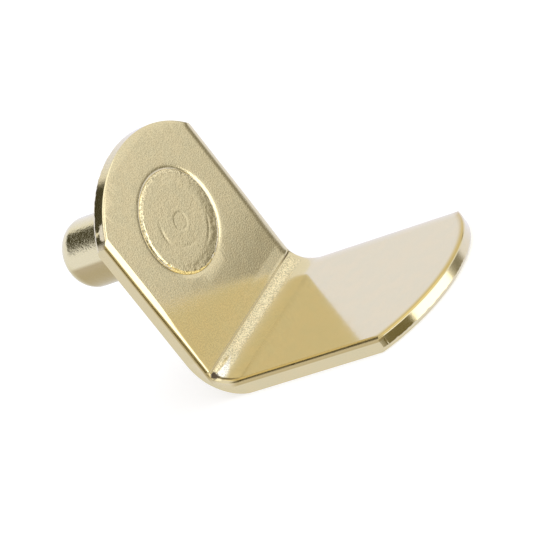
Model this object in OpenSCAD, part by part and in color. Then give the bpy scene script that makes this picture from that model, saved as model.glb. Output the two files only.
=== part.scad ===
// Plug-in shelf support
//
// A short metal strip is folded once into two legs. The wall leg stands against the side of the
// cabinet and the shelf leg carries the shelf. A round pin is set through the wall leg: its shank
// plugs into the cabinet side, a thinner tenon fills the hole in the strip, and the end of the
// tenon is riveted over into a thin flat head on the room side, let into a shallow recess.
//
// All lengths are in millimetres. The origin lies on the axis of the pin, in the face of the wall
// leg that touches the cabinet. +X points into the room, +Y along the fold and +Z up.

/* [Strip] */
// Width of the strip, along the fold
strip_w = 16.9; // [12:0.1:24]
// Thickness of the strip
strip_t = 1.5; // [1:0.05:2.4]
// Height of the wall leg, from the underside of the shelf leg to the crown of its end
wall_leg_h = 21.7; // [20:0.1:30]
// Reach of the shelf leg, from the cabinet side to the crown of its end
shelf_leg_l = 23.9; // [16:0.1:36]
// Radius on the inside of the fold
fold_r = 1.7; // [1:0.1:4]
// Radius on the outside of the fold, which pressing the fold home has made wider
heel_r = 4.4; // [2.5:0.1:5]

/* [Rounded ends] */
// How far the crown of the wall leg stands above its corners
wall_end_rise = 4.3; // [2:0.1:6]
// How far the crown of the shelf leg stands beyond its corners
shelf_end_rise = 3.8; // [2:0.1:6]

/* [Edges] */
// Rounding that blanking leaves along the long edges on the room side
rolled_edge_r = 0.3; // [0.2:0.05:0.5]
// Small rounding of the long edges on the cabinet side
broken_edge_r = 0.1; // [0.05:0.05:0.3]
// Rounding of both end arcs on the room side
end_room_edge_r = 0.2; // [0.05:0.05:0.5]
// Rounding of both end arcs on the cabinet side, where the shear tore free
end_cabinet_edge_r = 0.35; // [0.05:0.05:0.5]

/* [Pin] */
// Height of the axis of the pin above the underside of the shelf leg
pin_axis_h = 13.25; // [11:0.05:15]
// Diameter of the shank, for a hole of a quarter of an inch
pin_d = 6.3; // [5:0.05:8]
// Length of the shank, from the wall leg to the tip
pin_l = 11.1; // [8:0.1:16]
// Rounding of the tip
pin_tip_r = 1.9; // [0.5:0.1:2.4]
// Diameter of the tenon that passes through the strip
tenon_d = 4.8; // [3:0.1:4.9]
// Gap all round between the tenon and its hole
tenon_clearance = 0.02; // [0.01:0.01:0.1]

/* [Riveted head] */
// Diameter of the head
head_d = 9.3; // [7:0.1:11]
// Thickness of the head
head_t = 0.35; // [0.3:0.05:0.6]
// Rounding of the rim of the head
head_rim_r = 0.15; // [0.05:0.05:0.25]
// How deep the head is let into the wall leg
recess_depth = 0.25; // [0.2:0.05:0.5]
// Gap all round between the head and the wall of its recess
recess_clearance = 0.05; // [0.02:0.01:0.2]
// Rounding of the lip of the recess
recess_lip_r = 0.2; // [0.05:0.05:0.2]
// Diameter of the shallow mark that the riveting punch leaves in the middle of the head
punch_mark_d = 1.5; // [0.5:0.1:3]
// Depth of the punch mark
punch_mark_depth = 0.05; // [0.02:0.01:0.1]

/* [Hidden] */
$fn = 96;
brass = [0.80, 0.72, 0.52];
pale_brass = [0.84, 0.78, 0.62];

underside_z = -pin_axis_h;
// Floor of the recess, which the underside of the head lies on
head_seat_x = strip_t - recess_depth;
// How far a cutter reaches past what it cuts
overcut = 1;

// Radius of the arc that spans the strip and rises by the given amount
function crown_r(rise) = (pow(strip_w / 2, 2) + pow(rise, 2)) / (2 * rise);

// A rectangle from the origin, whose far corner at [x, y] is rounded
module round_far_corner(x, y, r) {
    difference() {
        square([x, y]);
        translate([x - r, y - r])
            difference() {
                square(r + overcut);
                circle(r);
            }
    }
}

// Half of the strip's section, from its middle line out to one edge. X runs through the
// thickness, from the cabinet side of the strip to the room side, and Y out to the edge.
module half_section(half_w, room_edge_r, cabinet_edge_r) {
    translate([strip_t / 2, 0]) {
        round_far_corner(strip_t / 2, half_w, room_edge_r);
        mirror([1, 0]) round_far_corner(strip_t / 2, half_w, cabinet_edge_r);
    }
}

// Section of the strip, across its whole width
module strip_section() {
    half_section(strip_w / 2, rolled_edge_r, broken_edge_r);
    mirror([0, 1]) half_section(strip_w / 2, rolled_edge_r, broken_edge_r);
}

// What is trimmed from a leg to leave an arc of radius r with rounded edges, as half a ring
// about the middle of the arc
module crown_cutter(r) {
    rotate([0, 90, 0]) rotate([0, 0, 90])
        rotate_extrude(angle = 180)
            difference() {
                translate([r / 2, -overcut]) square([r, strip_t + 2 * overcut]);
                mirror([1, -1]) half_section(r, end_room_edge_r, end_cabinet_edge_r);
            }
}

// One leg, from the underside of the fold upwards, with its cabinet side at X = 0
module leg(length, rise) {
    r = crown_r(rise);
    difference() {
        linear_extrude(length) strip_section();
        translate([0, 0, length - r]) crown_cutter(r);
    }
}

// Quarter turn about the Y axis, from -X round to -Z, of a shape drawn as [radius, Y]
module quarter_turn() {
    rotate([90, 0, 0]) rotate([0, 0, 180]) rotate_extrude(angle = 90) children();
}

// Section of the strip with its cabinet side at the given radius
module section_at(r) {
    translate([r, 0]) mirror([1, 0]) strip_section();
}

// What the pressing squeezed out of the corner on the outside of the fold
module heel_cutter() {
    quarter_turn()
        difference() {
            translate([heel_r - strip_t / 2, -strip_w / 2 - overcut])
                square([heel_r, strip_w + 2 * overcut]);
            section_at(heel_r);
        }
}

// The strip, folded once, with the inside of the fold filled to its radius
module folded_strip() {
    turn = strip_t + fold_r;
    translate([0, 0, underside_z])
        difference() {
            union() {
                leg(wall_leg_h, wall_end_rise);
                mirror([1, 0, -1]) leg(shelf_leg_l, shelf_end_rise);
                translate([turn, 0, turn]) quarter_turn() section_at(turn);
            }
            translate([heel_r, 0, heel_r]) heel_cutter();
        }
}

// Hole through the wall leg for the tenon
module tenon_hole() {
    translate([-overcut, 0, 0]) rotate([0, 90, 0])
        cylinder(h = strip_t + 2 * overcut, d = tenon_d + 2 * tenon_clearance);
}

// Shallow round recess that the head lies in, with a rounded lip
module head_recess() {
    recess_r = head_d / 2 + recess_clearance;
    translate([head_seat_x, 0, 0]) rotate([0, 90, 0])
        rotate_extrude() {
            square([recess_r, recess_depth + overcut]);
            translate([recess_r, recess_depth - recess_lip_r])
                difference() {
                    square([recess_lip_r, recess_lip_r + overcut]);
                    translate([recess_lip_r, 0]) circle(recess_lip_r);
                }
        }
}

// The folded strip, pierced and recessed for the pin
module bracket() {
    color(brass)
        difference() {
            folded_strip();
            tenon_hole();
            head_recess();
        }
}

// Half of the pin's section: X is the distance from its axis, Y the depth into the cabinet side
module pin_profile() {
    round_far_corner(pin_d / 2, pin_l, pin_tip_r);
    translate([0, -head_seat_x]) {
        square([tenon_d / 2, head_seat_x]);
        mirror([0, 1])
            difference() {
                round_far_corner(head_d / 2, head_t, head_rim_r);
                translate([0, head_t - punch_mark_depth]) square([punch_mark_d / 2, overcut]);
            }
    }
}

// The turned pin, seated on the cabinet face of the strip and in its recess
module pin() {
    color(pale_brass) rotate([0, -90, 0]) rotate_extrude() pin_profile();
}

bracket();
pin();
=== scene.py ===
"""A plug-in shelf support: a folded strip and a riveted pin, both brass plated and lacquered."""

import math

import bpy
from mathutils import Matrix, Vector
from mathutils.noise import noise as noise_at


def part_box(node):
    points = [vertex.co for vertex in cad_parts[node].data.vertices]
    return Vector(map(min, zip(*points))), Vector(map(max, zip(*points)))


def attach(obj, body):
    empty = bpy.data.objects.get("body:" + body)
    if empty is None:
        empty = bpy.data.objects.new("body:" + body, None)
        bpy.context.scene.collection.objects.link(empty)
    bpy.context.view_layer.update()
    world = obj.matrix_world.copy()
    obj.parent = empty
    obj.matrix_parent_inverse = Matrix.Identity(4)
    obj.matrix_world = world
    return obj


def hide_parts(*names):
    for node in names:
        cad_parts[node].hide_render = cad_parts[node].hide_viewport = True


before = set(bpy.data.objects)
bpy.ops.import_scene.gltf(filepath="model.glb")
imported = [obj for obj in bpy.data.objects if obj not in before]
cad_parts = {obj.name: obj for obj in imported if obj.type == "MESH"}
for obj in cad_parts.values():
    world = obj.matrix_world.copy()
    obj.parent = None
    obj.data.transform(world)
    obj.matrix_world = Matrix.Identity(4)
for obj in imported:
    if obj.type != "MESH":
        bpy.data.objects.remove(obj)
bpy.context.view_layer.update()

MM = 0.001
DEG = math.radians(1)
MERGE = 0.0005 * MM              # corners closer than this are one
HAIR = 0.001 * MM
SNAP = 0.003 * MM                # a corner this close to a place lies on it

# ---------------------------------------------------------------- sizes of the strip, in metres

strip_low, strip_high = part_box("bracket")
pin_low, pin_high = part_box("pin")

HALF_WIDTH = strip_high.y
UNDERSIDE = strip_low.z
WALL_TOP = strip_high.z
SHELF_END = strip_high.x
STRIP_T = 1.5 * MM
HEEL_R = 4.4 * MM                # outside of the fold
HEEL_Z = UNDERSIDE + HEEL_R
FOLD_STEPS = 48
WALL_ROWS = 12
ROOM_SIDE_CUTS = 31              # cuts across the face that the rolls and the dents are shaped in
OVERLENGTH = 0.5 * MM            # left on both legs until their ends are trimmed

# Inside of the fold: below a crease the face leaves the wall leg, turns tightly and then eases out
CREASE_TURN = 11
KNEE_TURN = 65
KNEE_R = 1.2 * MM
KNEE_STEPS = 26
EASE_R = 4.4 * MM
EASE_STEPS = 12
# The press left a fine ridge and a finer groove just above the crease: each row is a heading and a length
PRESS_MARKS = [(4, 0.05 * MM), (-28, 0.06 * MM), (28, 0.07 * MM), (3, 0.06 * MM), (0, 0.04 * MM)]
GROOVE_Z = -10.39 * MM
CREASE_END = Vector((1.5, -8.20, -10.80)) * MM
DENT_R = 0.32 * MM               # the dent that the press pinched into the near end of the crease
DENT_DEPTH = 0.09 * MM
THIN_FROM = -3.2 * MM            # below here the wall leg thins slightly towards the fold
THIN_RATE = 1.9                  # per metre

# The inside of the fold flares towards its near end
FLARE = 0.32 * MM
FLARE_TURN = 0.50                # halfway round the fold
FLARE_SPREAD = 0.17
FLARE_RISE = (4.4 * MM, 6.4 * MM)      # it grows between these places and dies out between the next
FLARE_FALL = (6.6 * MM, 8.35 * MM)

# Rounding that blanking leaves along the long edges
ROLL_DEPTH = 0.4 * MM
ROLL_WIDTH = 1.6 * MM
ROLL_STEPS = 16
ROLL_LOW = (-9 * MM, -1 * MM)    # between these heights the wall leg's rolls change their width
NEAR_WALL_ROLL = 0.42            # share of the width along the near edge of the wall leg
LOW_WALL_ROLL = 0.25             # closing up towards the fold
NEAR_SHELF_ROLL = 0.28           # and of the shelf leg
FAR_WALL_ROLL = 0.74             # and along the far edge of the wall leg
FAR_LOW_EXTRA = 0.1              # opening up towards the fold
NEAR_WALL_SHAPE = 1.2            # 2 is a plain curve and 1 a flat bevel
NEAR_SHELF_SHAPE = 2.1
NEAR_WALL_DEPTH = 0.82           # share of the depth along the near edge of the wall leg
LOW_WALL_DEPTH = 0.60
BACK_EDGE_R = 0.1 * MM
BACK_EDGE_STEPS = 3

# Across a trimmed end, in millimetres from its cabinet side: each row is a place and how far the end
# stands back there. First a torn slope, then the burnished land, then the edge on the room side.
WALL_END_RISE = 4.3 * MM
SHELF_END_RISE = 3.8 * MM
TORN = [(-0.10, 0.42), (0.00, 0.30), (0.10, 0.19), (0.20, 0.10), (0.30, 0.045), (0.38, 0.02)]
LAND = [(across, 0.0) for across in (0.41, 0.43, 0.65, 0.85, 1.05, 1.23)]
WALL_END = TORN + LAND + [
    (1.35, 0.0), (1.38, 0.0), (1.40, 0.01), (1.42, 0.03), (1.44, 0.06), (1.46, 0.095), (1.475, 0.13),
    (1.487, 0.17), (1.495, 0.215), (1.503, 0.29)]
SHELF_END_SHAPE = TORN + LAND + [
    (1.26, 0.0), (1.275, 0.012), (1.30, 0.045), (1.32, 0.052), (1.35, 0.058), (1.385, 0.075),
    (1.415, 0.10), (1.435, 0.13), (1.452, 0.18), (1.467, 0.27), (1.48, 0.40), (1.49, 0.56),
    (1.497, 0.75), (1.503, 0.98)]
# How far the cutters reach past the strip, in millimetres
CLEAR_ROOM = 2.5
CLEAR_CABINET = -1
CLEAR_OUT = -5
CROWN_STEPS = 240

# The uneven line where the torn slope meets the land
UNEVEN_ACROSS = (0.03 * MM, 0.5 * MM)  # where on the end it lies
UNEVEN_FULL = 0.3 * MM                 # where it has grown to its full depth
UNEVEN_DEPTH = 0.075 * MM
UNEVEN_SCALE = 26
# The spot near its lower corner where the end of the wall leg is torn right across, in degrees round
# the arc from its near side
SPOT_FROM = (39.5, 41)
SPOT_TO = (43, 46)
SPOT_SLANT = 3                   # degrees for each millimetre across
SPOT_ACROSS = (0.6 * MM, 1.3 * MM)
SPOT_SLOPE = 0.14

# A nick that the shear left across the end of the shelf leg, beside its near corner
NICK_R = 0.20 * MM
NICK_IN = 0.30 * MM              # how far it lies inside the near edge
NICK_OUT = 0.11 * MM             # how far its middle lies outside the arc

# ---------------------------------------------------------------- sizes of the pin and its seat

PIN_TIP = pin_low.x
PIN_R = 3.15 * MM
PIN_TIP_R = 1.9 * MM
TIP_STEPS = 14
TIP_FLAT_R = 0.6 * MM
TENON_R = 2.4 * MM
TENON_HOLE_R = 2.42 * MM
SHOULDER_BREAK = 0.06 * MM       # the broken edge of the shoulder
HEAD_R = pin_high.y
HEAD_TOP = pin_high.x
HEAD_SEAT = 1.25 * MM
HEAD_BREAK = 0.02 * MM
RIM_W = 0.30 * MM                # the rim of the head is a shallow roll
RIM_DROP = 0.24 * MM
HEAD_FRONT = HEAD_TOP - 0.2475 * MM    # what lies beyond here is the room side of the head
FACE_RINGS = 44
TURN_STEPS = 192

# The recess closes on the rim of the head, so that no gap shows. Round it lies the shallow dip that
# riveting pressed: each row is a place across the strip and a radius, in millimetres.
RECESS_R = 4.635 * MM
RECESS_DIP = [(1.435, 4.635), (1.45, 4.67), (1.467, 4.73), (1.480, 4.80), (1.490, 4.88), (1.4955, 4.96),
              (1.4985, 5.08), (1.5012, 5.40)]

# The face of the head, with depths and radii in millimetres
HEAD_FALL = 0.038                # how far it falls away towards its lower far side
HEAD_FALL_ZONE = (3.2, 4.7)
LOW_FAR = -35 * DEG              # the direction of that side, from the far side upwards
PUNCH_RING_R = 0.76
PUNCH_RING_WIDTH = 0.075
PUNCH_RING_DEPTH = 0.009
PUNCH_DIP = 0.005                # the shallow middle inside the ring
PUNCH_DIP_EDGE = (0.6, 0.8)
RIM_GRAIN = 0.035
RIM_GRAIN_SCALE = 3600
RIM_GRAIN_ZONE = (4.3, 4.5)
FACE_GRAIN = 0.008
FACE_GRAIN_SCALE = 2600
FACE_GRAIN_ZONE = (3.2, 3.7)
SLIP_WIDTH = 0.10
# Slips of the riveting punch: radius, direction in degrees, spread in degrees and depth
PUNCH_SLIPS = [
    (2.6, 172, 20, 0.014),
    (2.9, 24, 16, 0.006),
    (3.35, -52, 24, 0.012),
    (2.2, -125, 30, 0.007),
]


# ---------------------------------------------------------------- modelling tools

def take(piece):
    """Makes a piece the only one selected."""
    bpy.ops.object.select_all(action="DESELECT")
    piece.select_set(True)
    bpy.context.view_layer.objects.active = piece


def add(primitive, name, **settings):
    """Adds one primitive, selected alone, with its place applied to its mesh."""
    bpy.ops.object.select_all(action="DESELECT")
    primitive(**settings)
    piece = bpy.context.object
    piece.name = piece.data.name = name
    bpy.ops.object.transform_apply(location=True, rotation=True, scale=True)
    return piece


def pick(piece, kind, test):
    """Selects the vertices or edges whose corners all pass the test, in edit mode."""
    bpy.ops.mesh.select_mode(type=kind)
    bpy.ops.mesh.select_all(action="DESELECT")
    bpy.ops.object.mode_set(mode="OBJECT")
    mesh = piece.data
    if kind == "VERT":
        for corner in mesh.vertices:
            corner.select = test(corner.co)
    else:
        for edge in mesh.edges:
            edge.select = all(test(mesh.vertices[i].co) for i in edge.vertices)
    bpy.ops.object.mode_set(mode="EDIT")


def near(a, b):
    return abs(a - b) < SNAP


def move(piece, offset):
    """Moves the whole mesh and leaves the object at the origin."""
    take(piece)
    bpy.ops.object.mode_set(mode="EDIT")
    bpy.ops.mesh.select_all(action="SELECT")
    bpy.ops.transform.translate(value=offset)
    bpy.ops.object.mode_set(mode="OBJECT")


def apply_modifier(piece, kind, **settings):
    """Adds a modifier, sets it and applies it."""
    take(piece)
    modifier = piece.modifiers.new(kind.title(), kind)
    for key, value in settings.items():
        setattr(modifier, key, value)
    bpy.ops.object.modifier_apply(modifier=modifier.name)


def cut(piece, cutter):
    """Takes the cutter's shape out of the piece and removes the cutter."""
    apply_modifier(piece, "BOOLEAN", operation="DIFFERENCE", solver="EXACT", object=cutter)
    bpy.data.meshes.remove(cutter.data)


def spun(name, points, closed, angle, steps):
    """Draws an outline from the +Y side of the X axis and spins it about that axis.

    Each point is (place along X, radius). A closed outline is filled first, so a part turn of it
    is a solid.
    """
    piece = add(bpy.ops.mesh.primitive_plane_add, name, size=1 * MM)
    bpy.ops.object.mode_set(mode="EDIT")
    bpy.ops.mesh.select_all(action="SELECT")
    bpy.ops.mesh.merge(type="CENTER")
    places = [Vector((x, r, 0)) for x, r in points]
    bpy.ops.mesh.select_mode(type="VERT")
    bpy.ops.mesh.select_all(action="SELECT")
    bpy.ops.transform.translate(value=places[0])
    for last, place in zip(places, places[1:]):
        bpy.ops.mesh.extrude_vertices_move(TRANSFORM_OT_translate={"value": place - last})
    bpy.ops.mesh.select_all(action="SELECT")
    if closed:
        bpy.ops.mesh.edge_face_add()
    bpy.ops.mesh.spin(steps=steps, angle=angle, center=(0, 0, 0), axis=(1, 0, 0))
    bpy.ops.mesh.select_all(action="SELECT")
    bpy.ops.mesh.remove_doubles(threshold=MERGE)
    bpy.ops.mesh.normals_make_consistent(inside=False)
    bpy.ops.object.mode_set(mode="OBJECT")
    return piece


def arc(x, r, radius, start, end, steps):
    """Points of an arc about (x, r), with angles in degrees from +X towards the radius."""
    angles = [start + (end - start) * i / steps for i in range(steps + 1)]
    return [(x + radius * math.cos(a * DEG), r + radius * math.sin(a * DEG)) for a in angles]


def smooth(piece, angle):
    """Merges what the cuts left double, and gives smooth shading with flat faces and crisp edges."""
    take(piece)
    bpy.ops.object.mode_set(mode="EDIT")
    bpy.ops.mesh.select_all(action="SELECT")
    bpy.ops.mesh.remove_doubles(threshold=MERGE)
    bpy.ops.mesh.dissolve_degenerate(threshold=MERGE)
    bpy.ops.object.mode_set(mode="OBJECT")
    bpy.ops.object.shade_smooth_by_angle(angle=angle * DEG)
    apply_modifier(piece, "WEIGHTED_NORMAL", mode="FACE_AREA", weight=50, keep_sharp=True)


def ease(value, low, high):
    """0 below low, 1 above high and a smooth slope between them."""
    share = min(1, max(0, (value - low) / (high - low)))
    return share * share * (3 - 2 * share)


def bump_at(value, place, width):
    """A soft bump 1 high at a place."""
    return math.exp(-((value - place) / width) ** 2)


# ---------------------------------------------------------------- the folded strip

def strip_blank():
    """The strip, rolled along its long edges and folded, with both ends left square."""
    squash = ROLL_DEPTH / ROLL_WIDTH
    strip = add(bpy.ops.mesh.primitive_plane_add, "folded_strip", size=1)
    bpy.ops.object.mode_set(mode="EDIT")
    bpy.ops.mesh.select_all(action="SELECT")
    bpy.ops.transform.resize(value=(STRIP_T, 2 * HALF_WIDTH * squash, 1))
    pick(strip, "VERT", lambda p: p.x > 0)
    bpy.ops.mesh.bevel(affect="VERTICES", offset=ROLL_DEPTH, segments=ROLL_STEPS)
    bpy.ops.mesh.select_all(action="SELECT")
    bpy.ops.transform.resize(value=(1, 1 / squash, 1))
    pick(strip, "VERT", lambda p: p.x < 0)
    bpy.ops.mesh.bevel(affect="VERTICES", offset=BACK_EDGE_R, segments=BACK_EDGE_STEPS)
    pick(strip, "EDGE", lambda p: near(p.x, STRIP_T / 2))
    bpy.ops.mesh.subdivide(number_cuts=ROOM_SIDE_CUTS)
    bpy.ops.mesh.select_all(action="SELECT")
    bpy.ops.transform.translate(value=(STRIP_T / 2, 0, WALL_TOP + OVERLENGTH))
    row_drop = (HEEL_Z - WALL_TOP - OVERLENGTH) / WALL_ROWS
    for _ in range(WALL_ROWS):
        bpy.ops.mesh.extrude_region_move(TRANSFORM_OT_translate={"value": (0, 0, row_drop)})
    bpy.ops.mesh.spin(steps=FOLD_STEPS, angle=90 * DEG, center=(HEEL_R, 0, HEEL_Z), axis=(0, 1, 0))
    bpy.ops.mesh.extrude_region_move(
        TRANSFORM_OT_translate={"value": (SHELF_END + OVERLENGTH - HEEL_R, 0, 0)})
    bpy.ops.mesh.select_all(action="SELECT")
    bpy.ops.mesh.remove_doubles(threshold=MERGE)
    bpy.ops.mesh.normals_make_consistent(inside=False)
    bpy.ops.object.mode_set(mode="OBJECT")
    return strip


def fold_inside():
    """The [x, z] rows of the inside of the fold, from the wall leg to the shelf leg.

    Each row is drawn from the last one by a step along a heading: 0 is down the wall leg and
    90 out along the shelf leg.
    """
    drop = KNEE_R * (math.sin(KNEE_TURN * DEG) - math.sin(CREASE_TURN * DEG))
    drop += EASE_R * (1 - math.sin(KNEE_TURN * DEG))
    crease_z = UNDERSIDE + STRIP_T + drop
    marks_drop = sum(length * math.cos(turn * DEG) for turn, length in PRESS_MARKS)
    plain_steps = FOLD_STEPS - KNEE_STEPS - EASE_STEPS - len(PRESS_MARKS)
    plain = (HEEL_Z - crease_z - marks_drop) / plain_steps
    steps = [(0, plain)] * plain_steps + PRESS_MARKS
    for first, last, radius, count in ((CREASE_TURN, KNEE_TURN, KNEE_R, KNEE_STEPS),
                                       (KNEE_TURN, 90, EASE_R, EASE_STEPS)):
        turn = (last - first) / count
        steps += [(first + turn * (i + 0.5), radius * turn * DEG) for i in range(count)]
    x, z = STRIP_T, HEEL_Z
    rows = [(x, z)]
    for turn, length in steps:
        x += length * math.sin(turn * DEG)
        z -= length * math.cos(turn * DEG)
        rows.append((x, z))
    rows[-1] = (HEEL_R, UNDERSIDE + STRIP_T)
    return rows


def angle_round_fold(p):
    """0 on the wall leg, a quarter turn on the shelf leg, and between them on the fold."""
    if p.z >= HEEL_Z - HAIR:
        return 0
    if p.x >= HEEL_R - HAIR:
        return 90 * DEG
    return math.atan2(HEEL_Z - p.z, HEEL_R - p.x)


def near_roll_change(from_edge, turn, lower):
    """How much deeper the near roll is than the plain rounding of the blank."""
    along = min(1, max(0, 1 - from_edge / ROLL_WIDTH))
    shape = NEAR_WALL_SHAPE + (NEAR_SHELF_SHAPE - NEAR_WALL_SHAPE) * turn
    share = NEAR_WALL_DEPTH + (LOW_WALL_DEPTH - NEAR_WALL_DEPTH) * lower
    share += (1 - share) * turn
    plain = (1 - along ** 2) ** 0.5
    return ROLL_DEPTH * (plain - 1 + share * (1 - (1 - along ** shape) ** (1 / shape)))


def shape_strip(strip):
    """Gives the rolls their widths and the inside of the fold its shape."""
    inside = fold_inside()
    for corner in strip.data.vertices:
        p = corner.co
        angle = angle_round_fold(p)
        turn = angle / (90 * DEG)
        out = Vector((-math.cos(angle), 0, -math.sin(angle)))
        depth = (HEEL_R - (p - Vector((HEEL_R, p.y, HEEL_Z))).dot(out)) / STRIP_T
        lower = 1 - ease(p.z, *ROLL_LOW)
        from_edge = HALF_WIDTH + p.y
        if p.y < 0 and from_edge < ROLL_WIDTH + 2 * HAIR:
            if depth > 0.5:
                deeper = near_roll_change(from_edge, turn, lower)
                p += out * deeper
                depth -= deeper / STRIP_T
            share = NEAR_WALL_ROLL + (LOW_WALL_ROLL - NEAR_WALL_ROLL) * lower
            share += (NEAR_SHELF_ROLL - share) * turn
            p.y = from_edge * share - HALF_WIDTH
        if p.y > HALF_WIDTH - ROLL_WIDTH - 2 * HAIR:
            share = FAR_WALL_ROLL + FAR_LOW_EXTRA * lower
            share += (1 - share) * turn
            p.y = HALF_WIDTH - (HALF_WIDTH - p.y) * share
        if 0 < angle < 90 * DEG or near(p.z, HEEL_Z) or near(p.x, HEEL_R):
            outer = Vector((HEEL_R, p.y, HEEL_Z)) + out * HEEL_R
            x, z = inside[round(turn * FOLD_STEPS)]
            corner.co = outer.lerp(Vector((x, p.y, z)), depth)
            p = corner.co
        flare = bump_at(turn, FLARE_TURN, FLARE_SPREAD) * ease(depth, 0.5, 1)
        flare *= ease(-p.y, *FLARE_RISE) * (1 - ease(-p.y, *FLARE_FALL))
        p -= out * (FLARE * flare)
        dent = bump_at((p - CREASE_END).length, 0, DENT_R)
        p += out * (DENT_DEPTH * dent)
        thinner = THIN_RATE * max(0, THIN_FROM - max(p.z, HEEL_Z)) ** 2 * (1 - turn)
        p.x -= thinner * ease(p.x, 0, STRIP_T / 2)


def crown_radius(rise):
    """Radius of the arc that spans the strip and rises by the given amount."""
    return (HALF_WIDTH ** 2 + rise ** 2) / (2 * rise)


def tear_line(p, side, rise):
    """Makes the line where the torn slope meets the land uneven."""
    across = side * p.x
    spot = Vector((math.atan2(p.z, p.y) * UNEVEN_SCALE, rise * 1000, 0))
    uneven = noise_at(spot) + 0.6 * noise_at(spot * 2.9)
    p.x += side * UNEVEN_DEPTH * uneven * ease(across, UNEVEN_ACROSS[0], UNEVEN_FULL)


def tear_across(p, r):
    """Tears the end of the wall leg right across at one spot."""
    place = math.degrees(math.atan2(p.z, -p.y))
    slant = SPOT_SLANT * p.x / MM
    torn = ease(place, *SPOT_FROM) * (1 - ease(place, SPOT_TO[0] + slant, SPOT_TO[1] + slant))
    torn *= 1 + 0.7 * noise_at(Vector((place * 2.1, p.x * 4000, 0)))
    shrink = 1 - SPOT_SLOPE * (SPOT_ACROSS[1] - p.x) * torn / r
    p.y *= shrink
    p.z *= shrink


def crown_cutter(name, rise, end, side):
    """Half a ring that trims the end of a leg and leaves the edges that a shear leaves.

    Side is 1 for a strip whose room side faces +X, and -1 where it faces -X.
    """
    r = crown_radius(rise)
    around = [(CLEAR_ROOM, end[-1][1]), (CLEAR_ROOM, CLEAR_OUT), (CLEAR_CABINET, CLEAR_OUT),
              (CLEAR_CABINET, end[0][1])]
    points = [(side * x * MM, r - back * MM) for x, back in end + around]
    cutter = spun(name, points, True, -180 * DEG, CROWN_STEPS)
    for corner in cutter.data.vertices:
        p = corner.co
        if math.hypot(p.y, p.z) >= r + 1 * MM:
            continue
        across = side * p.x
        if UNEVEN_ACROSS[0] < across < UNEVEN_ACROSS[1]:
            tear_line(p, side, rise)
        if side > 0 and SPOT_ACROSS[0] < across < SPOT_ACROSS[1]:
            tear_across(p, r)
    return cutter


def nick_cutter():
    """A small three-sided bar that stands across the end of the shelf leg."""
    arc_r = crown_radius(SHELF_END_RISE)
    angle = math.asin((HALF_WIDTH - NICK_IN) / arc_r)
    place = (SHELF_END - arc_r + (arc_r + NICK_OUT) * math.cos(angle), -(arc_r + NICK_OUT) * math.sin(angle),
             UNDERSIDE)
    return add(bpy.ops.mesh.primitive_cylinder_add, "nick_cutter", vertices=3, radius=NICK_R,
               depth=2 * MM, location=place)


def recess_cutter():
    """The hole for the tenon and the recess of the head, in one turned piece."""
    outline = [(CLEAR_CABINET * MM, 0), (CLEAR_CABINET * MM, TENON_HOLE_R), (HEAD_SEAT, TENON_HOLE_R),
               (HEAD_SEAT, RECESS_R)]
    outline += [(x * MM, r * MM) for x, r in RECESS_DIP]
    outline += [(CLEAR_ROOM * MM, outline[-1][1]), (CLEAR_ROOM * MM, 0)]
    return spun("recess_cutter", outline, False, 360 * DEG, TURN_STEPS)


strip = strip_blank()
shape_strip(strip)

wall_cutter = crown_cutter("wall_cutter", WALL_END_RISE, WALL_END, 1)
move(wall_cutter, (0, 0, WALL_TOP - crown_radius(WALL_END_RISE)))
cut(strip, wall_cutter)

shelf_cutter = crown_cutter("shelf_cutter", SHELF_END_RISE, SHELF_END_SHAPE, -1)
take(shelf_cutter)
shelf_cutter.rotation_euler = (0, 90 * DEG, 0)
bpy.ops.object.transform_apply(location=True, rotation=True, scale=True)
move(shelf_cutter, (SHELF_END - crown_radius(SHELF_END_RISE), 0, UNDERSIDE))
cut(strip, shelf_cutter)

cut(strip, nick_cutter())
cut(strip, recess_cutter())
smooth(strip, 32)


# ---------------------------------------------------------------- the riveted pin

def pin_outline():
    """Half of the pin's section, from the middle of its tip to the middle of its head."""
    tip = arc(PIN_TIP + PIN_TIP_R, PIN_R - PIN_TIP_R, PIN_TIP_R, 180, 90, TIP_STEPS)
    shank = [(-1 * MM, PIN_R), (-SHOULDER_BREAK, PIN_R), (0, PIN_R - SHOULDER_BREAK)]
    tenon = [(0, TENON_R), (HEAD_SEAT, TENON_R)]
    seat = [(HEAD_SEAT, HEAD_R - HEAD_BREAK), (HEAD_SEAT + HEAD_BREAK, HEAD_R)]
    rim = [(HEAD_TOP - RIM_DROP * (1 - math.cos(a * DEG)), HEAD_R - RIM_W * (1 - math.sin(a * DEG)))
           for a in range(90, -1, -9)]
    face = [(HEAD_TOP, (HEAD_R - RIM_W) * (1 - i / FACE_RINGS)) for i in range(1, FACE_RINGS + 1)]
    return [(PIN_TIP, 0), (PIN_TIP, TIP_FLAT_R)] + tip + shank + tenon + seat + rim + face


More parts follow.
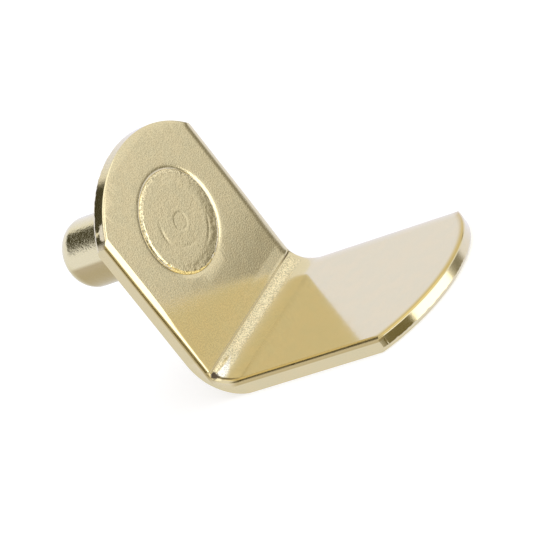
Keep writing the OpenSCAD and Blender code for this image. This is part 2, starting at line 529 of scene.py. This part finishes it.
def dress_head(pin):
    """Leaves the marks of the riveting punch, and lets the head fall away towards its lower far side."""
    for corner in pin.data.vertices:
        p = corner.co
        if p.x < HEAD_FRONT:
            continue
        r = math.hypot(p.y, p.z) / MM
        angle = math.atan2(p.z, p.y)
        low_far = 0.5 + 0.5 * math.cos(angle - LOW_FAR)
        drop = HEAD_FALL * low_far ** 1.5 * ease(r, *HEAD_FALL_ZONE)
        drop += PUNCH_RING_DEPTH * bump_at(r, PUNCH_RING_R, PUNCH_RING_WIDTH)
        drop += PUNCH_DIP * (1 - ease(r, *PUNCH_DIP_EDGE))
        rim_grain = noise_at(Vector((p.y, p.z, 0)) * RIM_GRAIN_SCALE)
        drop += RIM_GRAIN * rim_grain * ease(r, *RIM_GRAIN_ZONE)
        face_grain = noise_at(Vector((p.z, p.y, 0)) * FACE_GRAIN_SCALE)
        drop += FACE_GRAIN * face_grain * ease(r, *FACE_GRAIN_ZONE) * low_far
        for radius, towards, spread, depth in PUNCH_SLIPS:
            apart = (math.degrees(angle) - towards + 180) % 360 - 180
            drop += depth * bump_at(r, radius, SLIP_WIDTH) * bump_at(apart, 0, spread)
        p.x -= drop * MM


pin = spun("riveted_pin", pin_outline(), False, 360 * DEG, TURN_STEPS)
dress_head(pin)
smooth(pin, 38)

for piece, node, slot in ((strip, "bracket", "plated_strip"), (pin, "pin", "plated_pin")):
    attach(piece, "root")
    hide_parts(node)


# ---------------------------------------------------------------- tools for finishes and light

def link(tree, source, target):
    tree.links.new(source, target)


def node(tree, kind, **inputs):
    made = tree.nodes.new(kind)
    for key, value in inputs.items():
        made.inputs[key.replace("_", " ")].default_value = value
    return made


def noise(tree, place, scale, detail=2.0, roughness=0.5):
    """A cloudy pattern from 0 to 1. The scale is in clouds for each metre."""
    made = node(tree, "ShaderNodeTexNoise", Scale=scale, Detail=detail, Roughness=roughness)
    link(tree, place, made.inputs["Vector"])
    return made.outputs["Fac"]


def between(tree, value, low, high, at_low=0.0, at_high=1.0):
    """A smooth slope from one level to another as a value goes from low to high."""
    made = node(tree, "ShaderNodeMapRange", From_Min=low, From_Max=high, To_Min=at_low, To_Max=at_high)
    made.interpolation_type = "SMOOTHSTEP"
    link(tree, value, made.inputs["Value"])
    return made.outputs["Result"]


def fade(tree, value, off, on, base=0.0):
    """0 at the first place and 1 at the second, both given in millimetres from the base."""
    return between(tree, value, base + off * MM, base + on * MM)


def calc(tree, operation, a, b=0.0):
    made = tree.nodes.new("ShaderNodeMath")
    made.operation = operation
    for socket, value in zip(made.inputs, (a, b)):
        if isinstance(value, (int, float)):
            socket.default_value = value
        else:
            link(tree, value, socket)
    return made.outputs[0]


def plus(tree, a, b):
    return calc(tree, "ADD", a, b)


def times(tree, first, *others):
    """Masks, or a mask and a number, multiplied together."""
    for other in others:
        first = calc(tree, "MULTIPLY", first, other)
    return first


def out_from(tree, a, b):
    """Distance from an axis, out of the two places across it."""
    return calc(tree, "SQRT", plus(tree, times(tree, a, a), times(tree, b, b)))


def measured(tree, operation, a, b):
    """One number made from a varying vector and a fixed one."""
    made = tree.nodes.new("ShaderNodeVectorMath")
    made.operation = operation
    link(tree, a, made.inputs[0])
    made.inputs[1].default_value = b
    return made.outputs["Value"]


def mixed(tree, share, a, b):
    """One colour laid over another. Each is a fixed colour or a value that varies."""
    made = tree.nodes.new("ShaderNodeMix")
    made.data_type = "RGBA"
    link(tree, share, made.inputs["Factor"])
    for socket, value in ((made.inputs["A"], a), (made.inputs["B"], b)):
        if isinstance(value, tuple):
            socket.default_value = value + (1,)
        else:
            link(tree, value, socket)
    return made.outputs["Result"]


def stretched(tree, place, x=1.0, y=1.0, z=1.0):
    """Places for a pattern that is finer along one direction than along another."""
    made = node(tree, "ShaderNodeMapping", Scale=(x, y, z))
    link(tree, place, made.inputs["Vector"])
    return made.outputs["Vector"]


def raised(tree, height, strength, distance, below=None):
    """A bump over the one below it. The strength may be a number or a value that varies."""
    made = node(tree, "ShaderNodeBump", Distance=distance)
    link(tree, height, made.inputs["Height"])
    if isinstance(strength, float):
        made.inputs["Strength"].default_value = strength
    else:
        link(tree, strength, made.inputs["Strength"])
    if below:
        link(tree, below, made.inputs["Normal"])
    return made.outputs["Normal"]


# ---------------------------------------------------------------- finish

BRASS = (0.776, 0.672, 0.412)
GREYER_BRASS = (0.752, 0.666, 0.416)
# Painted shade: a darker gold along the arc that ends the shelf leg
ARC_PAINTED_SHADE = (0.62, 0.47, 0.17)         # along the arc that ends the shelf leg
# Painted shade along the long near edges
NEAR_EDGE_PAINTED_SHADE = (0.56, 0.44, 0.19)
# Painted shade in the groove above the crease, deeper in its far part
GROOVE_PAINTED_SHADE = (0.42, 0.34, 0.17)
FAR_GROOVE_PAINTED_SHADE = (0.14, 0.10, 0.04)
# A painted highlight at the near end of the fold
FOLD_END_PAINTED_HIGHLIGHT = (0.96, 0.93, 0.80)
# Painted shade round the near edge of the fold
FOLD_EDGE_PAINTED_SHADE = (0.20, 0.15, 0.055)
# Painted shade in the pinch at the near end of the crease
PINCH_PAINTED_SHADE = (0.06, 0.04, 0.02)
SHANK_BRASS = (0.80, 0.72, 0.44)
# Painted shade on the underside of the shank
SHANK_UNDERSIDE_PAINTED_SHADE = (0.50, 0.403, 0.205)


def brass(name):
    """Starts bright brass plating under clear lacquer, with patches of slightly greyer metal."""
    material = bpy.data.materials.new(name)
    material.use_nodes = True
    tree = material.node_tree
    surface = tree.nodes["Principled BSDF"]
    surface.inputs["Metallic"].default_value = 1
    surface.inputs["Coat Weight"].default_value = 0.5
    surface.inputs["Coat Roughness"].default_value = 0.06
    surface.inputs["Coat IOR"].default_value = 1.5
    place = tree.nodes.new("ShaderNodeTexCoord").outputs["Object"]
    split = tree.nodes.new("ShaderNodeSeparateXYZ")
    link(tree, place, split.inputs[0])
    patches = noise(tree, place, 650.0, 3.0, 0.6)
    colour = mixed(tree, between(tree, patches, 0.35, 0.65), BRASS, GREYER_BRASS)
    return material, tree, surface, place, list(split.outputs), colour


def smudged(tree, place, low, high):
    """A roughness that drifts between two levels, as handled lacquer does."""
    return between(tree, noise(tree, place, 700.0, 4.0, 0.7), 0.3, 0.7, low, high)


def grain_painted_shade(tree, surface, colour, height, amount):
    """Paints shade into the hollows of the grain and highlights on its tops. The amount varies over the
    surface.
    """
    shade = plus(tree, times(tree, between(tree, height, 0.36, 0.64, -1.0, 1.0), amount), 1.0)
    made = tree.nodes.new("ShaderNodeVectorMath")
    made.operation = "SCALE"
    link(tree, colour, made.inputs[0])
    link(tree, shade, made.inputs["Scale"])
    link(tree, made.outputs["Vector"], surface.inputs["Base Color"])


def shelf_arc_painted_shade(tree, x, y, z):
    """The edge of the shelf leg's face, along the arc that ends it, where a darker gold is painted as shade.
    """
    arc_r = crown_radius(SHELF_END_RISE)
    out_to = out_from(tree, calc(tree, "SUBTRACT", x, SHELF_END - arc_r), y)
    return times(tree, fade(tree, out_to, -0.65, -0.12, arc_r), fade(tree, x, -7.5, -5, SHELF_END),
                 fade(tree, z, 1.30, 1.36, UNDERSIDE))


def near_edges_painted_shade(tree, x, y, z, y_uneven):
    """The long near edges of both legs, painted darker as shade."""
    wall_edge = times(tree, fade(tree, x, 1.0, 1.12), fade(tree, y, -8.22, -8.30),
                      fade(tree, z, -11.5, -10.5))
    shelf_edge = times(tree, fade(tree, z, 0.98, 1.12, UNDERSIDE), fade(tree, y_uneven, -7.97, -8.10),
                       fade(tree, x, 2.6, 3.6))
    return calc(tree, "MINIMUM", plus(tree, wall_edge, shelf_edge), 1.0)


def crease_groove_painted_shade(tree, x, y, z_uneven):
    """Painted shade in the fine groove above the crease, fainter towards the near side."""
    return times(tree, fade(tree, z_uneven, 0.09, 0.03, GROOVE_Z),
                 fade(tree, z_uneven, -0.10, -0.03, GROOVE_Z),
                 fade(tree, x, 1.3, 1.4), fade(tree, x, 1.8, 1.7),
                 between(tree, y, 5.5 * MM, 7.5 * MM, 0.55, 1.0))


def fold_end_painted_highlight(tree, x, y, z, y_uneven, z_uneven):
    """The near end of the fold, where a bright highlight is painted."""
    lower_end = calc(tree, "SUBTRACT", z, times(tree, fade(tree, y, -4.8, -7.8), -0.58 * MM))
    return times(tree, fade(tree, z_uneven, -10.78, -10.92), fade(tree, lower_end, -10.95, -10.75),
                 fade(tree, x, 1.3, 1.4), fade(tree, y_uneven, -4.6, -7.0), fade(tree, y, -8.15, -8.0))


def fold_edge_painted_shade(tree, x, z, y_uneven):
    """A dull line of painted shade round the near edge of the fold, below the crease."""
    return times(tree, fade(tree, y_uneven, -8.20, -8.12), fade(tree, y_uneven, -7.88, -7.99),
                 fade(tree, x, 4.2, 2.8), fade(tree, z, 0.1, -0.1, CREASE_END.z),
                 fade(tree, z, 1.2, 1.3, UNDERSIDE))


def crease_pinch_painted_shade(tree, place, uneven):
    """A dark pinch of painted shade at the near end of the crease."""
    apart = measured(tree, "DISTANCE", place, CREASE_END + Vector((0.05, 0.16, -0.05)) * MM)
    return fade(tree, plus(tree, apart, times(tree, uneven, 1.7)), 0.48, 0.24)


def strip_plating():
    """The wall leg and the fold keep the grain of the pressed steel, and the shelf leg is smoother."""
    material, tree, surface, place, (x, y, z), colour = brass("strip_plating")
    wall = between(tree, z, UNDERSIDE + 1.5 * MM, UNDERSIDE + 3.2 * MM, 0.22, 1.0)
    fold = times(tree, fade(tree, z, 2.9, 2.6, UNDERSIDE), fade(tree, x, 2.5, 2.0),
                 fade(tree, x, 1.0, 1.3), fade(tree, z, 1.0, 1.3, UNDERSIDE))
    inner = between(tree, calc(tree, "ABSOLUTE", y), 8.1 * MM, 7.6 * MM, 0.15, 1.0)

    # The painted shade and highlights end along uneven lines
    uneven = calc(tree, "SUBTRACT", noise(tree, place, 4000.0, 3.0, 0.6), 0.5)
    uneven = times(tree, uneven, 0.45 * MM)
    y_uneven = plus(tree, y, times(tree, uneven, 0.3))
    z_uneven = plus(tree, z, times(tree, uneven, 0.2))
    near_edge_shade = near_edges_painted_shade(tree, x, y, z, y_uneven)
    groove = crease_groove_painted_shade(tree, x, y, z_uneven)
    pinch = crease_pinch_painted_shade(tree, place, uneven)
    # Painted shade along the arc, the near edges, the groove, the fold's edge and the pinch, and a painted
    # highlight at the near end of the fold
    for share, shade in (
            (shelf_arc_painted_shade(tree, x, y, z), ARC_PAINTED_SHADE),
            (near_edge_shade, NEAR_EDGE_PAINTED_SHADE),
            (groove, GROOVE_PAINTED_SHADE),
            (fold_end_painted_highlight(tree, x, y, z, y_uneven, z_uneven), FOLD_END_PAINTED_HIGHLIGHT),
            (times(tree, groove, fade(tree, y, 5.8, 7.6)), FAR_GROOVE_PAINTED_SHADE),
            (fold_edge_painted_shade(tree, x, z, y_uneven), FOLD_EDGE_PAINTED_SHADE),
            (pinch, PINCH_PAINTED_SHADE)):
        colour = mixed(tree, share, colour, shade)

    rough = plus(tree, smudged(tree, place, 0.09, 0.15), times(tree, plus(tree, near_edge_shade, pinch), 0.12))
    link(tree, rough, surface.inputs["Roughness"])
    peel = noise(tree, place, 7500.0, 2.0, 0.6)
    # How strongly shade and highlights are painted into the grain of the wall leg and the fold
    tops = plus(tree, times(tree, wall, 0.09), times(tree, fold, 0.17))
    grain_painted_shade(tree, surface, colour, peel, times(tree, tops, inner))

    grain = times(tree, plus(tree, times(tree, wall, 0.3), times(tree, fold, 1.5)), inner)
    normal = raised(tree, peel, grain, 0.02 * MM)
    streaks = noise(tree, stretched(tree, place, y=0.1), 4200.0, 2.0, 0.6)
    normal = raised(tree, streaks, times(tree, fold, 0.5), 0.03 * MM, normal)
    waves = noise(tree, place, 900.0, 1.0)
    normal = raised(tree, waves, 0.035, 0.05 * MM, normal)
    link(tree, normal, surface.inputs["Normal"])
    return material


def pin_plating():
    """The head keeps a pressed grain, and the shank the fine rings of turning."""
    material, tree, surface, place, (x, y, z), colour = brass("pin_plating")
    link(tree, smudged(tree, place, 0.10, 0.16), surface.inputs["Roughness"])
    head = between(tree, x, 1.0 * MM, 1.3 * MM, 0.2, 1.0)
    on_shank = fade(tree, x, 0.1, -0.1)
    # The underside of the shank is painted a little browner, as shade
    low = times(tree, fade(tree, z, 0.7, 0.3), on_shank, fade(tree, x, 0.4, 2, PIN_TIP))
    colour = mixed(tree, on_shank, colour, SHANK_BRASS)
    colour = mixed(tree, low, colour, SHANK_UNDERSIDE_PAINTED_SHADE)
    # The rim of the head is roughened where it was pressed against the strip, and its grain gets stronger
    # painted shade and highlights
    rim = times(tree, fade(tree, out_from(tree, y, z), 4.15, 4.4), fade(tree, x, 1.0, 1.3))
    peel = noise(tree, place, 6500.0, 2.0, 0.55)
    grain_painted_shade(tree, surface, colour, peel, plus(tree, times(tree, head, 0.08), times(tree, rim, 0.27)))

    normal = raised(tree, peel, times(tree, head, 0.35), 0.02 * MM)
    waves = noise(tree, place, 1300.0, 2.0)
    normal = raised(tree, waves, 0.06, 0.05 * MM, normal)
    rings = noise(tree, stretched(tree, place, x=9000.0, y=250.0, z=250.0), 1.0, 3.0, 0.6)
    ring_strength = between(tree, x, 0.2 * MM, -0.2 * MM, 0.0, 0.35)
    normal = raised(tree, rings, ring_strength, 0.008 * MM, normal)
    pits = noise(tree, place, 3800.0, 3.0, 0.65)
    pit_strength = between(tree, x, 0.2 * MM, -0.2 * MM, 0.0, 0.5)
    normal = raised(tree, pits, pit_strength, 0.05 * MM, normal)
    link(tree, normal, surface.inputs["Normal"])
    return material


for piece, finish in ((strip, strip_plating()), (pin, pin_plating())):
    piece.data.materials.clear()
    piece.data.materials.append(finish)


# ---------------------------------------------------------------- floor, light and camera

FLOOR_GREY = (0.64, 0.64, 0.64, 1)
FLOOR_GLOW = 0.51                # brings the floor up to white for the camera alone

TABLE_UP = Vector((0.628, 0, 0.778))         # up, for the part as it lies on its pin and its fold
FRONT = Vector((0.3285, -0.906, -0.2646))    # level, towards the viewer
RIGHT = FRONT.cross(TABLE_UP) * -1

# Light of the surroundings. A height is the sine of the angle above level.
DEEP_LIGHT = (0.84, 0.83, 0.80)
LOW_LIGHT = (0.94, 0.95, 1.11)
UPPER_LIGHT = (0.945, 0.93, 0.92)
OVERHEAD_LIGHT = (1.42, 1.42, 1.42)
PATCHES = [
    # azimuths in degrees, heights, colour, softness of both
    (-131, -72, -0.02, 0.30, (0.06, 0.055, 0.03), 4, 0.02),
    (-30, 50, 0.06, 0.42, (0.20, 0.17, 0.08), 3, 0.04),
    (50, 99, 0.14, 0.60, (2.2, 2.2, 2.2), 3, 0.05),
    (68, 150, -0.02, 0.147, (0.28, 0.26, 0.21), 10, 0.045),
]

LENS = 311.3
CAMERA_PLACE = Vector((269.499, -254.224, 130.329)) * MM
CAMERA_FORWARD = Vector((-0.67339, 0.65070, -0.35091))
CAMERA_RIGHT = Vector((0.70170, 0.41312, -0.58048))
CAMERA_UP = Vector((0.23275, 0.63712, 0.73478))


def lay_floor():
    """A plain pale floor that keeps its shadow and isn't mirrored in the metal."""
    floor = add(bpy.ops.mesh.primitive_plane_add, "floor", size=4, location=(0, 0, UNDERSIDE - 0.02 * MM))
    floor.visible_glossy = False
    paper = bpy.data.materials.new("floor_paper")
    paper.use_nodes = True
    tree = paper.node_tree
    surface = tree.nodes["Principled BSDF"]
    surface.inputs["Base Color"].default_value = FLOOR_GREY
    surface.inputs["Roughness"].default_value = 1
    surface.inputs["Specular IOR Level"].default_value = 0
    surface.inputs["Emission Color"].default_value = (1, 1, 1, 1)
    seen = tree.nodes.new("ShaderNodeLightPath")
    glow = times(tree, seen.outputs["Is Camera Ray"], FLOOR_GLOW)
    link(tree, glow, surface.inputs["Emission Strength"])
    floor.data.materials.append(paper)


def paint_world():
    """Surroundings for the metal to mirror, painted by direction, and white for the camera."""
    world = bpy.data.worlds.new("studio")
    bpy.context.scene.world = world
    world.use_nodes = True
    tree = world.node_tree
    tree.nodes.clear()
    out = tree.nodes.new("ShaderNodeOutputWorld")
    background = tree.nodes.new("ShaderNodeBackground")
    link(tree, background.outputs[0], out.inputs["Surface"])
    direction = tree.nodes.new("ShaderNodeTexCoord").outputs["Generated"]
    up = measured(tree, "DOT_PRODUCT", direction, TABLE_UP)
    # 0 degrees is towards the viewer, and right is positive
    azimuth = calc(tree, "ARCTAN2", measured(tree, "DOT_PRODUCT", direction, RIGHT),
                   measured(tree, "DOT_PRODUCT", direction, FRONT))
    azimuth = times(tree, azimuth, 180 / math.pi)
    light = mixed(tree, between(tree, up, -0.9, -0.45), DEEP_LIGHT, LOW_LIGHT)
    light = mixed(tree, between(tree, up, -0.02, 0.02), light, UPPER_LIGHT)
    light = mixed(tree, between(tree, up, 0.78, 0.88), light, OVERHEAD_LIGHT)
    for left, right, low, high, colour, side_soft, end_soft in PATCHES:
        inside = times(tree, between(tree, azimuth, left - side_soft, left + side_soft),
                       between(tree, azimuth, right + side_soft, right - side_soft),
                       between(tree, up, low - end_soft, low + end_soft),
                       between(tree, up, high + end_soft, high - end_soft))
        light = mixed(tree, inside, light, colour)
    seen = tree.nodes.new("ShaderNodeLightPath")
    light = mixed(tree, seen.outputs["Is Camera Ray"], light, (1.0, 1.0, 1.0))
    link(tree, light, background.inputs["Color"])


def set_camera():
    """The camera looks down at the part, which it sees turned as it lies on its pin and its fold."""
    bpy.ops.object.camera_add()
    camera = bpy.context.object
    camera.name = "camera"
    camera.data.lens = LENS
    camera.data.clip_start = 0.01
    camera.data.clip_end = 10
    facing = Matrix((CAMERA_RIGHT, CAMERA_UP, -CAMERA_FORWARD)).transposed()
    camera.matrix_world = Matrix.Translation(CAMERA_PLACE) @ facing.to_4x4()
    bpy.context.scene.camera = camera


lay_floor()
paint_world()
bpy.context.scene.view_settings.view_transform = "Standard"
set_camera()
